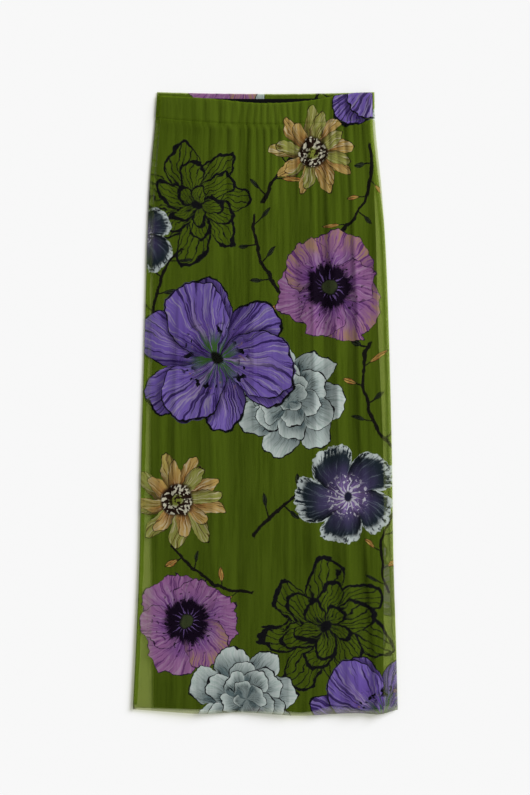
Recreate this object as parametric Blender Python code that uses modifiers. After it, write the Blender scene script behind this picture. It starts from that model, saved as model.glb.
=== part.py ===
"""A long pencil skirt in printed mesh over a dark lining, laid flat on its back.

The skirt lies on a surface at z = 0, waist towards +Y and hem towards -Y, front up.
Sizes below are real sizes in millimetres; MM turns them into Blender's metres.
"""

from collections import namedtuple
import math

import bpy
import bmesh

MM = 0.001

# Driving dimensions
LENGTH = 931.0
HALF_WAIST = 163.0
CLOTH = 1.0
CASING = 2.0
SEAM_GAP = 0.3

# Waist casing: its lower seam, and how far the back's own top edge sags
CASING_DEPTH_AT_SIDES = 39.5
CASING_SEAM_SAG = 9.8
BACK_TOP_SAG = 3.0

# Centre-back seam, a little left of the middle as the skirt lies
BACK_SEAM_X = -1.5

# The lining hangs from inside the casing, this far under the turned edge
LINING_BELOW_TOP = 7.5
CASING_STEP_END = 150.0

# The back wraps this far over the front along the right side seam, down to that depth
SIDE_WRAP = 3.4
SIDE_WRAP_END = 210.0

# How high the fullest gather of the elastic stands on the casing and on the panel
CASING_GATHER_RISE = 1.3
PANEL_GATHER_RISE = 2.7

# The front hem stands clear of the back in soft waves
HEM_LIFT = 2.2
HEM_WAVE_LENGTH = 133.0
HEM_LIFT_REACH = 120.0

# Mesh densities
EDGE_COLUMNS = 4
PANEL_ROWS = 17
CASING_ROWS = 4
PLAIN_COLUMNS = 22
PLAIN_ROWS = 14
ROW_CROWDING = 1.45

# Half widths of the outer tube and of the lining at depths below the back's top edge
Section = namedtuple("Section", "depth left right lining_left lining_right")
SECTIONS = (
    Section(depth=0.0, left=161.5, right=163.0, lining_left=153.5, lining_right=155.0),
    Section(depth=54.0, left=165.2, right=164.5, lining_left=157.0, lining_right=156.5),
    Section(depth=99.0, left=169.7, right=169.0, lining_left=160.5, lining_right=160.0),
    Section(depth=143.0, left=173.0, right=173.6, lining_left=163.0, lining_right=162.5),
    Section(depth=233.0, left=176.8, right=179.8, lining_left=166.0, lining_right=165.5),
    Section(depth=356.0, left=180.0, right=184.6, lining_left=168.0, lining_right=168.5),
    Section(depth=532.0, left=185.2, right=189.0, lining_left=170.5, lining_right=176.0),
    Section(depth=697.0, left=188.0, right=191.5, lining_left=168.5, lining_right=177.0),
    Section(depth=831.0, left=193.4, right=195.6, lining_left=167.0, lining_right=176.5),
    Section(depth=931.0, left=198.4, right=198.0, lining_left=166.5, lining_right=176.5),
)

# Edges that run across the skirt: the depth of the cloth's edge at each place across
Edge = namedtuple("Edge", "across depth")
FRONT_TOP = (
    Edge(across=-163.0, depth=5.5),
    Edge(across=-85.0, depth=10.3),
    Edge(across=-18.0, depth=16.9),
    Edge(across=25.0, depth=16.9),
    Edge(across=69.0, depth=13.0),
    Edge(across=129.0, depth=2.6),
    Edge(across=163.0, depth=1.2),
)
FRONT_HEM = (
    Edge(across=-198.0, depth=922.0),
    Edge(across=-152.0, depth=925.0),
    Edge(across=-93.0, depth=928.4),
    Edge(across=-33.0, depth=926.4),
    Edge(across=51.0, depth=931.0),
    Edge(across=135.0, depth=927.0),
    Edge(across=170.0, depth=928.6),
    Edge(across=198.0, depth=922.5),
)
BACK_HEM = (
    Edge(across=-198.0, depth=920.0),
    Edge(across=-60.0, depth=924.0),
    Edge(across=45.0, depth=925.5),
    Edge(across=84.0, depth=917.0),
    Edge(across=112.0, depth=916.0),
    Edge(across=150.0, depth=925.0),
    Edge(across=178.0, depth=917.5),
    Edge(across=198.0, depth=920.0),
)
LINING_HEM = (
    Edge(across=-167.0, depth=919.0),
    Edge(across=-90.0, depth=922.0),
    Edge(across=8.0, depth=919.5),
    Edge(across=46.0, depth=926.5),
    Edge(across=72.0, depth=924.5),
    Edge(across=99.0, depth=917.0),
    Edge(across=132.0, depth=920.0),
    Edge(across=177.0, depth=922.5),
)

# Crests of the gathers across the front: where each stands at the casing, its share of
# the full rise, and how far down the panel it has faded
Gather = namedtuple("Gather", "across rise reach")
GATHERS = (
    Gather(across=-144.0, rise=0.30, reach=80.0),
    Gather(across=-121.0, rise=0.45, reach=120.0),
    Gather(across=-99.0, rise=0.70, reach=70.0),
    Gather(across=-73.0, rise=0.90, reach=150.0),
    Gather(across=-57.0, rise=0.60, reach=60.0),
    Gather(across=-43.7, rise=1.00, reach=170.0),
    Gather(across=-32.0, rise=0.50, reach=50.0),
    Gather(across=-20.5, rise=1.00, reach=190.0),
    Gather(across=-9.0, rise=0.60, reach=60.0),
    Gather(across=1.0, rise=0.80, reach=110.0),
    Gather(across=11.6, rise=0.80, reach=140.0),
    Gather(across=20.6, rise=0.40, reach=50.0),
    Gather(across=29.0, rise=0.90, reach=120.0),
    Gather(across=38.0, rise=0.50, reach=50.0),
    Gather(across=46.0, rise=0.90, reach=100.0),
    Gather(across=56.4, rise=0.60, reach=60.0),
    Gather(across=65.0, rise=1.00, reach=230.0),
    Gather(across=77.0, rise=0.60, reach=70.0),
    Gather(across=88.0, rise=0.90, reach=210.0),
    Gather(across=99.0, rise=0.80, reach=150.0),
    Gather(across=109.5, rise=0.80, reach=120.0),
    Gather(across=122.0, rise=0.90, reach=180.0),
    Gather(across=136.0, rise=0.50, reach=70.0),
    Gather(across=147.5, rise=0.70, reach=160.0),
)
GATHER_FADE_POWER = 1.3

# Soft folds that run down the front: each row is one ridge
Fold = namedtuple("Fold", "name at_waist at_hem rise half_width starts ends")
FOLDS = (
    Fold("left edge", -152.0, -168.0, 1.6, 15.0, 120.0, 900.0),
    Fold("left", -112.0, -136.0, 2.4, 17.0, 60.0, 800.0),
    Fold("left centre", -80.0, -82.0, 2.8, 24.0, 45.0, 870.0),
    Fold("centre", -14.0, -18.0, 2.6, 27.0, 45.0, 900.0),
    Fold("short centre", 8.0, 16.0, 2.0, 13.0, 45.0, 330.0),
    Fold("right centre", 62.0, 70.0, 2.8, 23.0, 45.0, 931.0),
    Fold("short right", 90.0, 98.0, 2.0, 12.0, 45.0, 420.0),
    Fold("right", 122.0, 128.0, 2.8, 18.0, 45.0, 931.0),
    Fold("right edge", 146.0, 171.0, 2.0, 14.0, 60.0, 931.0),
)
FOLD_FADE = 90.0

# Heights of each layer's underside, one on the other
BACK_Z = 0.0
LINING_BACK_Z = BACK_Z + CLOTH + SEAM_GAP
LINING_FRONT_Z = LINING_BACK_Z + CLOTH + SEAM_GAP
FRONT_Z = LINING_FRONT_Z + CLOTH + SEAM_GAP
CASING_STEP = CASING - CLOTH
CASING_FRONT_Z = FRONT_Z + CASING_STEP
LINING_CLEARANCE = 0.6


def smoothstep(low, high, value):
    """0 before low, 1 after high, and an even S between."""
    share = min(1.0, max(0.0, (value - low) / (high - low)))
    return share * share * (3.0 - 2.0 * share)


def read_table(table, key, column, place):
    """A table's column at a place, along a smooth curve through its rows."""
    keys = [getattr(row, key) for row in table]
    values = [getattr(row, column) for row in table]
    place = min(keys[-1], max(keys[0], place))
    i = max(k for k in range(len(keys) - 1) if keys[k] <= place)
    slopes = []
    for k in (i, i + 1):
        before, after = max(0, k - 1), min(len(keys) - 1, k + 1)
        slopes.append((values[after] - values[before]) / (keys[after] - keys[before]))
    step = keys[i + 1] - keys[i]
    t = (place - keys[i]) / step
    return (
        values[i] * (2 * t**3 - 3 * t**2 + 1)
        + values[i + 1] * (3 * t**2 - 2 * t**3)
        + slopes[0] * step * (t**3 - 2 * t**2 + t)
        + slopes[1] * step * (t**3 - t**2)
    )


def half_width(column, depth):
    return read_table(SECTIONS, "depth", column, depth)


def edge_depth(edge, across):
    return read_table(edge, "across", "depth", across)


def front_seam_depth(across):
    """The casing's lower seam on the front, which sags in the middle."""
    return CASING_DEPTH_AT_SIDES + CASING_SEAM_SAG * (1.0 - min(1.0, (across / HALF_WAIST) ** 2))


def back_top_depth(across):
    return BACK_TOP_SAG * (1.0 - min(1.0, (across / HALF_WAIST) ** 2))


def casing_step(depth):
    """How far the layers over the thicker back casing are raised."""
    return CASING_STEP * (1.0 - smoothstep(CASING_DEPTH_AT_SIDES + 1.0, CASING_STEP_END, depth))


def gather_share(station, depth):
    """0 in the valleys between gathers and up to 1 on their crests, fading down the panel."""
    if station.gather is None:
        return 0.0
    below = max(0.0, depth - CASING_DEPTH_AT_SIDES) / station.gather.reach
    return station.crest * station.gather.rise * math.exp(-(below**GATHER_FADE_POWER))


def fold_height(across, depth):
    """The soft folds' height over the layers below."""
    height = 0.0
    for fold in FOLDS:
        middle = fold.at_waist + (fold.at_hem - fold.at_waist) * depth / LENGTH
        offset = (across - middle) / fold.half_width
        shown = smoothstep(fold.starts - 1.0, fold.starts + FOLD_FADE, depth)
        if fold.ends < LENGTH:
            shown *= 1.0 - smoothstep(fold.ends - 2.0 * FOLD_FADE, fold.ends, depth)
        height += fold.rise * shown * math.exp(-offset * offset)
    near_hem = smoothstep(LENGTH - HEM_LIFT_REACH, LENGTH, depth)
    wave = 0.5 + 0.5 * math.sin(2.0 * math.pi * across / HEM_WAVE_LENGTH + 0.6)
    return height + HEM_LIFT * near_hem * wave


# Where a column of the front lies: its share of the lining's width, its share of the way up
# from the side seam to the lining's edge, its gather and how far up the crest it is
Station = namedtuple("Station", "share edge gather crest")


def lay_out_stations():
    """The front's columns: the left edge, the foot, side and crest of each gather, the right edge."""
    left, right = -SECTIONS[0].lining_left, SECTIONS[0].lining_right
    feet = [left]
    feet += [(one.across + two.across) / 2.0 for one, two in zip(GATHERS, GATHERS[1:])]
    feet += [right]
    stations = [Station(0.0, k / EDGE_COLUMNS, None, 0.0) for k in range(EDGE_COLUMNS)]
    for gather, foot, next_foot in zip(GATHERS, feet, feet[1:]):
        for at, crest in (
            (foot, 0.0),
            ((foot + gather.across) / 2.0, 0.5),
            (gather.across, 1.0),
            ((gather.across + next_foot) / 2.0, 0.5),
        ):
            stations.append(Station((at - left) / (right - left), 1.0, gather, crest))
    stations.append(Station(1.0, 1.0, None, 0.0))
    stations += [Station(1.0, k / EDGE_COLUMNS, None, 0.0) for k in reversed(range(EDGE_COLUMNS))]
    return stations


STATIONS = lay_out_stations()


def side_wrap(depth):
    return SIDE_WRAP * (1.0 - smoothstep(0.5 * SIDE_WRAP_END, SIDE_WRAP_END, depth))


def station_across(station, depth):
    """Where a station lies across the skirt at a depth."""
    inner_left = -half_width("lining_left", depth) - LINING_CLEARANCE
    inner_right = half_width("lining_right", depth) + LINING_CLEARANCE
    inner = inner_left + (inner_right - inner_left) * station.share
    if station.edge == 1.0:
        return inner
    if station.share == 0.0:
        outer = -half_width("left", depth)
    else:
        outer = half_width("right", depth) - side_wrap(depth)
    return outer + (inner - outer) * station.edge


def front_height(station, depth, seam_z, layer_z, rise):
    """Height of the front's underside: it rises from the side seam over the lining's edge."""
    lift = smoothstep(0.0, 1.0, station.edge)
    return seam_z + (layer_z - seam_z + rise * gather_share(station, depth)) * lift


def solid_sheet(name, columns, rows, place, thickness, material):
    """A sheet of cloth: a flat grid whose points are laid out by place, given its thickness upwards."""
    mesh = bpy.data.meshes.new(name)
    grid = bmesh.new()
    bmesh.ops.create_grid(grid, x_segments=columns, y_segments=rows, size=0.5)
    for vert in grid.verts:
        column = round((vert.co.x + 0.5) * columns)
        row = round((0.5 - vert.co.y) * rows)
        across, depth, z = place(column, row)
        vert.co = (across * MM, (LENGTH / 2.0 - depth) * MM, z * MM)
    bmesh.ops.recalc_face_normals(grid, faces=grid.faces)
    if sum(face.normal.z for face in grid.faces) < 0.0:
        bmesh.ops.reverse_faces(grid, faces=grid.faces)
    grid.to_mesh(mesh)
    grid.free()
    mesh.shade_smooth()
    mesh.materials.append(material)
    sheet = bpy.data.objects.new(name, mesh)
    wall = sheet.modifiers.new("wall", "SOLIDIFY")
    wall.thickness = thickness * MM
    wall.offset = 1.0
    wall.use_even_offset = False
    collection.objects.link(sheet)
    return sheet


def down_the_rows(row, rows, top, bottom, crowding=ROW_CROWDING):
    """A row's depth between two edges, with the rows closer together at the top."""
    return top + (bottom - top) * (row / rows) ** crowding


def cloth_material(name, colour, roughness):
    material = bpy.data.materials.new(name)
    material.use_nodes = True
    shader = material.node_tree.nodes["Principled BSDF"]
    shader.inputs["Base Color"].default_value = (*colour, 1.0)
    shader.inputs["Roughness"].default_value = roughness
    shader.inputs["Metallic"].default_value = 0.0
    return material


def make_front_panel(material):
    def place(column, row):
        station = STATIONS[column]
        top = front_seam_depth(station_across(station, CASING_DEPTH_AT_SIDES)) + SEAM_GAP
        bottom = edge_depth(FRONT_HEM, station_across(station, LENGTH))
        depth = down_the_rows(row, PANEL_ROWS, top, bottom)
        across = station_across(station, depth)
        layer_z = FRONT_Z + casing_step(depth) + fold_height(across, depth)
        z = front_height(station, depth, BACK_Z + CLOTH + SEAM_GAP, layer_z, PANEL_GATHER_RISE)
        return across, depth, z

    solid_sheet("front_panel", len(STATIONS) - 1, PANEL_ROWS, place, CLOTH, material)


def make_front_casing(material):
    def place(column, row):
        station = STATIONS[column]
        at_top = station_across(station, 0.0)
        top = edge_depth(FRONT_TOP, at_top)
        depth = down_the_rows(row, CASING_ROWS, top, front_seam_depth(at_top), 1.0)
        seam_z = BACK_Z + CASING + SEAM_GAP
        z = front_height(station, depth, seam_z, CASING_FRONT_Z, CASING_GATHER_RISE)
        return station_across(station, depth), depth, z

    solid_sheet("waist_casing_front", len(STATIONS) - 1, CASING_ROWS, place, CASING, material)


def back_half(side):
    """(place across at the centre-back seam, name of the side's width column, sign of the side)"""
    if side == "left":
        return BACK_SEAM_X - SEAM_GAP / 2.0, "left", -1.0
    return BACK_SEAM_X + SEAM_GAP / 2.0, "right", 1.0


def make_back_half(side, panel_material):
    seam, width, sign = back_half(side)

    def across_at(column, depth):
        share = column / PLAIN_COLUMNS
        if side == "left":
            share = 1.0 - share
        return seam + (sign * half_width(width, depth) - seam) * share

    def panel(column, row):
        bottom = edge_depth(BACK_HEM, across_at(column, LENGTH))
        top = CASING_DEPTH_AT_SIDES + SEAM_GAP
        depth = down_the_rows(row, PLAIN_ROWS, top, bottom)
        return across_at(column, depth), depth, BACK_Z

    def casing(column, row):
        top = back_top_depth(across_at(column, 0.0))
        depth = down_the_rows(row, 2, top, CASING_DEPTH_AT_SIDES, 1.0)
        return across_at(column, depth), depth, BACK_Z

    solid_sheet(f"back_panel_{side}", PLAIN_COLUMNS, PLAIN_ROWS, panel, CLOTH, panel_material)
    solid_sheet(f"waist_casing_back_{side}", PLAIN_COLUMNS, 2, casing, CASING, panel_material)


def make_lining(name, top_edge, layer_z, hem_rise, material):
    def place(column, row):
        share = column / PLAIN_COLUMNS
        left = -half_width("lining_left", LENGTH)
        right = half_width("lining_right", LENGTH)
        at_hem = left + (right - left) * share
        at_waist = HALF_WAIST * (2.0 * share - 1.0)
        top = top_edge(at_waist) + LINING_BELOW_TOP
        bottom = edge_depth(LINING_HEM, at_hem) - hem_rise
        depth = down_the_rows(row, PLAIN_ROWS, top, bottom, 1.3)
        left = -half_width("lining_left", depth)
        right = half_width("lining_right", depth)
        return left + (right - left) * share, depth, layer_z + casing_step(depth)

    solid_sheet(name, PLAIN_COLUMNS, PLAIN_ROWS, place, CLOTH, material)


for old in list(bpy.data.objects):
    bpy.data.objects.remove(old, do_unlink=True)
collection = bpy.data.collections.new("pencil_skirt")
bpy.context.scene.collection.children.link(collection)

mesh_cloth = cloth_material("printed mesh", (0.075, 0.11, 0.012), 0.75)
lining_cloth = cloth_material("lining jersey", (0.006, 0.006, 0.007), 0.85)

make_back_half("left", mesh_cloth)
make_back_half("right", mesh_cloth)
make_lining("lining_back", back_top_depth, LINING_BACK_Z, 4.0, lining_cloth)
make_lining("lining_front", lambda across: edge_depth(FRONT_TOP, across), LINING_FRONT_Z, 0.0, lining_cloth)
make_front_panel(mesh_cloth)
make_front_casing(mesh_cloth)
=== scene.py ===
"""Looks of a long pencil skirt in printed sheer mesh over a black lining, laid flat on its back.

The skirt lies on a pale floor, waist towards +Y and hem towards -Y, front up. Cloth is laid
out in millimetres: across from the middle, depth down from the waist, height off the floor.
The print is a loose scatter of garden flowers, drawn by the print's own shader nodes.
"""

import math
from collections import namedtuple
from functools import cache, partial, partialmethod
from itertools import product

import bpy
import numpy as np
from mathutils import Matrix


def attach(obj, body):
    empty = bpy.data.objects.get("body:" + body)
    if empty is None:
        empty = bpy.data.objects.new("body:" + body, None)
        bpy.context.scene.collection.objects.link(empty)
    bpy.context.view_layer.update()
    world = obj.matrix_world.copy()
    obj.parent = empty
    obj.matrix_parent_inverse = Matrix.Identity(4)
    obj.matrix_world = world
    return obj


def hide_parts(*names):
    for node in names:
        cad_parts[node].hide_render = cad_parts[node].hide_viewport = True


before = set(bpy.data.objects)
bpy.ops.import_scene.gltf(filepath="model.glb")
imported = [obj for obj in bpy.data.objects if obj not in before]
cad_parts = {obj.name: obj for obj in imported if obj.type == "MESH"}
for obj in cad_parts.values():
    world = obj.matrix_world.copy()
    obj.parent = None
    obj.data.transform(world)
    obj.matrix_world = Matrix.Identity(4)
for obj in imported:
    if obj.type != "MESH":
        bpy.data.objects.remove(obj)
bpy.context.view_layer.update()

MM = 0.001

# Driving dimensions, as in the part
LENGTH = 931.0
HALF_WAIST = 163.0
CASING_DEPTH_AT_SIDES = 39.5
CASING_SEAM_SAG = 9.8
BACK_TOP_SAG = 3.0
BACK_SEAM_X = -1.5
LINING_BELOW_TOP = 7.5
LINING_BACK_HEM_RISE = 4.0
CASING_STEP = 1.0
CASING_STEP_END = 150.0
SIDE_WRAP = 3.4
SIDE_WRAP_END = 210.0
LINING_CLEARANCE = 0.6

# Cloth thicknesses
MESH_WALL = 0.3
JERSEY_WALL = 0.5
ELASTIC_WALL = 0.6

# Heights of each layer's underside
BACK_Z = 0.0
BACK_SIDE_CURL = 1.6
SEAM_ALLOWANCE_Z = 0.65
LINING_BACK_Z = 1.45
LINING_FRONT_Z = 2.75
LINING_FRONT_SIDE_Z = 2.1
FRONT_Z = 3.95
FRONT_LOFT = 0.45
SIDE_SEAM_Z = 2.2
CASING_INNER_Z = 5.0
CASING_OUTER_Z = 6.3
CASING_SIDE_INNER_Z = 2.2
CASING_SIDE_OUTER_Z = 3.0
CASING_SIDE_SEAM_Z = 2.4
SEAM_PINCH = 0.75
SEAM_DIMPLE = 0.42
SEAM_DIMPLE_REACH = 2.4
SEAM_HOLD = 9.0
SEAM_RISE = 0.75
SEAM_RISE_REACH = 22.0
BACK_CASING_TOP_Z = 1.75
BACK_ALLOWANCE_Z = 0.75

# Gathers and folds
PANEL_GATHER_RISE = 2.7
CASING_GATHER_RISE = 1.5
CASING_GATHER_LEAN = 3.0
CASING_LEAN_SPREAD = 17.0
BACK_GATHER_RISE = 0.35
HEM_LIFT = 4.2
HEM_WAVE_LENGTH = 133.0
HEM_LIFT_REACH = 120.0
SIDE_LIFT = 1.9
SIDE_LIFT_STARTS = 330.0
FOLD_FADE = 90.0
GATHER_SWAY = 1.5
GATHER_SWAY_RUN = 70.0
GATHER_SOFTENS = 150.0
GATHERS_END = 6.0
FRONT_SCALLOP = 0.7
BACK_SCALLOP = 0.25
BACK_CASING_GATHER_RISE = 0.3

# Sewing
STITCH_SPACING = 3.2
STITCH_LENGTH = 2.5
HEM_STITCH_LENGTH = 2.6
THREAD_THICKNESS = 0.4
BACK_THREAD_THICKNESS = 0.35
HEM_STITCHES_UP = (9.0, 14.0)
# Rings of one stitch: place along it, share of its thickness, and dip into the cloth
STITCH_RINGS = ((-0.5, 0.5, 0.22), (-0.3, 1.0, 0.0), (0.3, 1.0, 0.0), (0.5, 0.5, 0.22))
SIDE_ALLOWANCE_WIDTH = 5.5
SIDE_ALLOWANCE_END = 915.0
BACK_ALLOWANCE_HALF_WIDTH = 6.0
BACK_ALLOWANCE_END = 918.0

SIGN = {"left": -1.0, "right": 1.0}
# Which stretch of the print each back half is cut from: across and down
BACK_PRINT = {"left": (405.0, 840.0), "right": (60.0, 180.0)}


def table(columns, *rows):
    """A table of plain rows, whose columns have names."""
    row_of = namedtuple("Row", columns)
    return tuple(row_of(*row) for row in rows)


SECTIONS = table(
    "depth left right lining_left lining_right",
    (0, 161.5, 163, 153.5, 155), (54, 165.2, 164.5, 157, 156.5),
    (99, 169.7, 169, 160.5, 160), (143, 173, 173.6, 163, 162.5),
    (233, 176.8, 179.8, 166, 165.5), (356, 180, 184.6, 168, 168.5),
    (532, 185.2, 189, 170.5, 176), (697, 188, 191.5, 168.5, 177),
    (831, 193.4, 195.6, 167, 176.5), (931, 198.4, 198, 166.5, 176.5),
)

EDGE = "across depth"
FRONT_TOP = table(
    EDGE,
    (-163, 5.5), (-85, 10.3), (-18, 16.9), (25, 16.9), (69, 13), (129, 2.6), (163, 1.2),
)
FRONT_HEM = table(
    EDGE,
    (-198, 922), (-152, 925), (-93, 928.4), (-33, 926.4), (51, 931), (135, 927), (170, 928.6),
    (198, 922.5),
)
BACK_HEM = table(
    EDGE,
    (-198, 920), (-60, 924), (45, 925.5), (84, 917), (112, 916), (150, 925), (178, 917.5), (198, 920),
)
LINING_HEM = table(
    EDGE,
    (-167, 919), (-90, 922), (8, 919.5), (46, 926.5), (72, 924.5), (99, 917), (132, 920), (177, 922.5),
)

# Crests of the gathers where they leave the waist: share of the full rise, and how far
# down the cloth each has faded
GATHER = "across rise reach"
CASING_GATHERS = table(GATHER, *((*row, LENGTH) for row in (
    (-144, 0.25), (-121, 0.35), (-99, 0.6), (-78, 0.8), (-57, 0.95), (-43.7, 0.8), (-34, 0.6),
    (-22.8, 1), (-12.3, 0.75), (-3.4, 0.65), (8.6, 0.95), (20.6, 0.8), (29.5, 0.7), (38.5, 0.85),
    (46, 0.6), (56.4, 0.95), (67, 0.7), (76.5, 0.85), (88.5, 0.9), (101.3, 1), (114.7, 0.9),
    (124.5, 0.7), (136.5, 0.6), (149, 0.55),
)))
PANEL_GATHERS = table(
    GATHER,
    (-144, 0.22, 90), (-121, 0.3, 120), (-96, 0.55, 80), (-69, 0.95, 170), (-45, 1, 150),
    (-32.5, 0.5, 60), (-20, 1, 190), (-8.5, 0.45, 70), (1, 0.8, 110), (12, 0.75, 150),
    (26.5, 0.95, 120), (37, 0.45, 55), (46, 0.85, 95), (55.5, 0.5, 60), (64.5, 1, 210),
    (76.5, 0.55, 70), (88, 0.95, 230), (98, 0.75, 130), (109, 0.8, 140), (121, 0.95, 200),
    (136, 0.45, 75), (149, 0.75, 170),
)
BACK_GATHERS = table(
    GATHER,
    (-146, 0.4, 70), (-128, 0.8, 120), (-104, 1, 190), (-90, 0.6, 70), (-71, 0.9, 140), (-52, 1, 90),
    (-37, 0.7, 160), (-18, 0.9, 110), (4, 1, 180), (22, 0.6, 80), (41, 0.9, 150), (60, 0.8, 90),
    (76, 1, 200), (97, 0.7, 100), (117, 0.9, 160), (138, 0.6, 80),
)

# Soft folds down the front: each row is one ridge
FOLDS = table(
    "name at_waist at_hem rise half_width starts ends",
    ("left edge", -152, -168, 1.6, 15, 120, 900),
    ("left", -112, -136, 2.4, 17, 60, 800),
    ("left centre", -80, -82, 2.8, 24, 45, 870),
    ("centre", -14, -18, 2.6, 27, 45, 840),
    ("short centre", 8, 16, 2, 13, 45, 330),
    ("right centre", 62, 74, 2.8, 17, 45, 931),
    ("short right", 104, 102, 1.2, 9, 45, 420),
    ("right", 90, 128, 2.8, 14, 45, 931),
    ("right edge", 124, 171, 2.2, 13, 60, 931),
)

# Narrow creases over the folds: troughs are negative
CREASE = "at_top at_end height half_width starts ends"
CREASES = table(
    CREASE,
    (-152, -162, 0.9, 4, 300, 780), (-142, -150, -0.7, 4.5, 420, 700), (-128, -139, 1.2, 4.2, 240, 690),
    (-104, -118, -1, 6, 180, 600), (-84, -74, 1.1, 4.5, 220, 880), (-118, -126, -0.8, 5.5, 600, 931),
    (-62, -53, -1, 6.5, 210, 720), (-36, -47, -0.9, 5.5, 520, 931), (-20, -14, 1.1, 4.2, 200, 620),
    (-12, -8, 0.4, 6, 580, 931), (14, 24, -1.1, 6, 160, 560), (32, 37, 0.9, 4.5, 480, 931),
    (44, 50, -0.9, 5.5, 200, 500), (66, 79, 1.2, 3.8, 130, 640), (72, 106, 1.1, 5, 600, 931),
    (54, 74, -1, 7, 560, 931), (83, 90, -1.2, 5, 150, 620), (94, 122, -0.7, 6, 600, 931),
    (101, 113, 1.5, 3.6, 130, 650), (112, 143, 1.2, 4.6, 560, 931), (117, 129, -1.3, 5, 200, 640),
    (131, 147, 1.4, 3.8, 150, 660), (145, 169, 1.2, 4.2, 580, 931), (147, 159, -1, 5, 380, 760),
    (142, 158, -1.1, 6, 660, 931),
)
BACK_CREASES = table(
    CREASE,
    (-146, -158, 0.55, 5, 90, 700), (-118, -126, 0.5, 6, 160, 931), (-92, -104, 0.6, 4.5, 60, 520),
    (-66, -60, 0.45, 6.5, 300, 931), (-38, -44, 0.55, 5, 70, 480), (30, 34, 0.5, 5.5, 60, 610),
    (58, 70, 0.6, 5, 120, 931), (86, 82, 0.45, 6, 420, 931), (108, 124, 0.55, 4.5, 60, 660),
    (142, 156, 0.5, 5.5, 100, 931),
)
LINING_CREASES = table(
    CREASE,
    (-134, -140, 0.22, 7, 80, 520), (-96, -88, -0.2, 8, 120, 931), (-52, -58, 0.22, 7, 60, 640),
    (-10, -16, -0.2, 9, 200, 931), (34, 28, 0.22, 7.5, 70, 480), (76, 84, -0.2, 8, 90, 931),
    (118, 126, 0.22, 7, 150, 700),
)

# Mesh densities
EDGE_COLUMNS = 10
INNER_COLUMNS = 204
PANEL_ROWS = 170
CASING_ROWS = 18
FOLD_ROWS = 6
BACK_COLUMNS = 90
BACK_ROWS = 90
LINING_COLUMNS = 90
LINING_ROWS = 110
STRIP_ROWS = 150
ELASTIC_ROWS = 6
ROW_CROWDING = 1.25


# Surfaces

def read_table(rows, key, column, places):
    """A table's column at many places, along a smooth curve through its rows."""
    keys = np.array([getattr(row, key) for row in rows])
    values = np.array([getattr(row, column) for row in rows])
    places = np.clip(places, keys[0], keys[-1])
    before = np.clip(np.searchsorted(keys, places, side="right") - 1, 0, len(keys) - 2)
    slopes = np.empty(len(keys))
    slopes[1:-1] = (values[2:] - values[:-2]) / (keys[2:] - keys[:-2])
    slopes[0] = (values[1] - values[0]) / (keys[1] - keys[0])
    slopes[-1] = (values[-1] - values[-2]) / (keys[-1] - keys[-2])
    step = keys[before + 1] - keys[before]
    t = (places - keys[before]) / step
    return (
        values[before] * (2 * t**3 - 3 * t**2 + 1)
        + values[before + 1] * (3 * t**2 - 2 * t**3)
        + slopes[before] * step * (t**3 - 2 * t**2 + t)
        + slopes[before + 1] * step * (t**3 - t**2)
    )


def half_width(column, depth):
    return read_table(SECTIONS, "depth", column, depth)


def edge_depth(edge, across):
    return read_table(edge, "across", "depth", across)


def smoothstep(low, high, value):
    """0 before low, 1 after high, and an even S between."""
    share = np.clip((value - low) / (high - low), 0.0, 1.0)
    return share * share * (3.0 - 2.0 * share)


def bell(away, reach):
    return np.exp(-((away / reach) ** 2))


def sag(across):
    """1 in the middle of the waist and 0 at its sides."""
    return 1.0 - np.minimum(1.0, (across / HALF_WAIST) ** 2)


def front_top_depth(across):
    return edge_depth(FRONT_TOP, across)


def front_seam_depth(across):
    return CASING_DEPTH_AT_SIDES + CASING_SEAM_SAG * sag(across)


def back_top_depth(across):
    return BACK_TOP_SAG * sag(across)


def casing_step(depth):
    return CASING_STEP * (1.0 - smoothstep(CASING_DEPTH_AT_SIDES + 1.0, CASING_STEP_END, depth))


def gather_height(gathers, across, depth, top):
    """Round tubes between narrow valleys, which soften and fade below top."""
    crests = np.array([gather.across for gather in gathers])
    outmost = HALF_WAIST - GATHERS_END
    feet = np.concatenate(([-outmost], (crests[1:] + crests[:-1]) / 2.0, [outmost]))
    below = np.maximum(0.0, depth - top)
    at_waist = across * HALF_WAIST / half_width("right", depth)
    sharpness = 0.75 + 0.95 * smoothstep(0.0, GATHER_SOFTENS, below)
    sway = GATHER_SWAY * np.minimum(1.0, below / 60.0)
    height = np.zeros_like(at_waist)
    for i, gather in enumerate(gathers):
        left, right = (feet[k] + sway * np.sin(below / GATHER_SWAY_RUN + 1.7 * k) for k in (i, i + 1))
        t = np.clip((at_waist - left) / (right - left), 0.0, 1.0)
        fade = np.exp(-((below / gather.reach) ** 1.3))
        height += gather.rise * fade * np.sin(np.pi * t) ** sharpness
    return height


def casing_lean(across, share_up):
    """How far the casing's gathers stray sideways on the way up from the seam."""
    return CASING_GATHER_LEAN * np.sin(across / CASING_LEAN_SPREAD) * share_up


def fold_height(across, depth):
    """The front's soft folds, the narrow creases over them, and the lift of the hem."""
    height = np.zeros_like(across)
    for fold in FOLDS:
        middle = fold.at_waist + (fold.at_hem - fold.at_waist) * depth / LENGTH
        shown = smoothstep(fold.starts - 1.0, fold.starts + FOLD_FADE, depth)
        if fold.ends < LENGTH:
            shown = shown * (1.0 - smoothstep(fold.ends - 2.0 * FOLD_FADE, fold.ends, depth))
        height += fold.rise * shown * bell(across - middle, fold.half_width)
    near_hem = smoothstep(LENGTH - HEM_LIFT_REACH, LENGTH, depth)
    wave = 0.62 + 0.38 * np.sin(2.0 * np.pi * across / HEM_WAVE_LENGTH + 0.6)
    return height + crease_height(CREASES, across, depth) + HEM_LIFT * near_hem * wave


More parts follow.
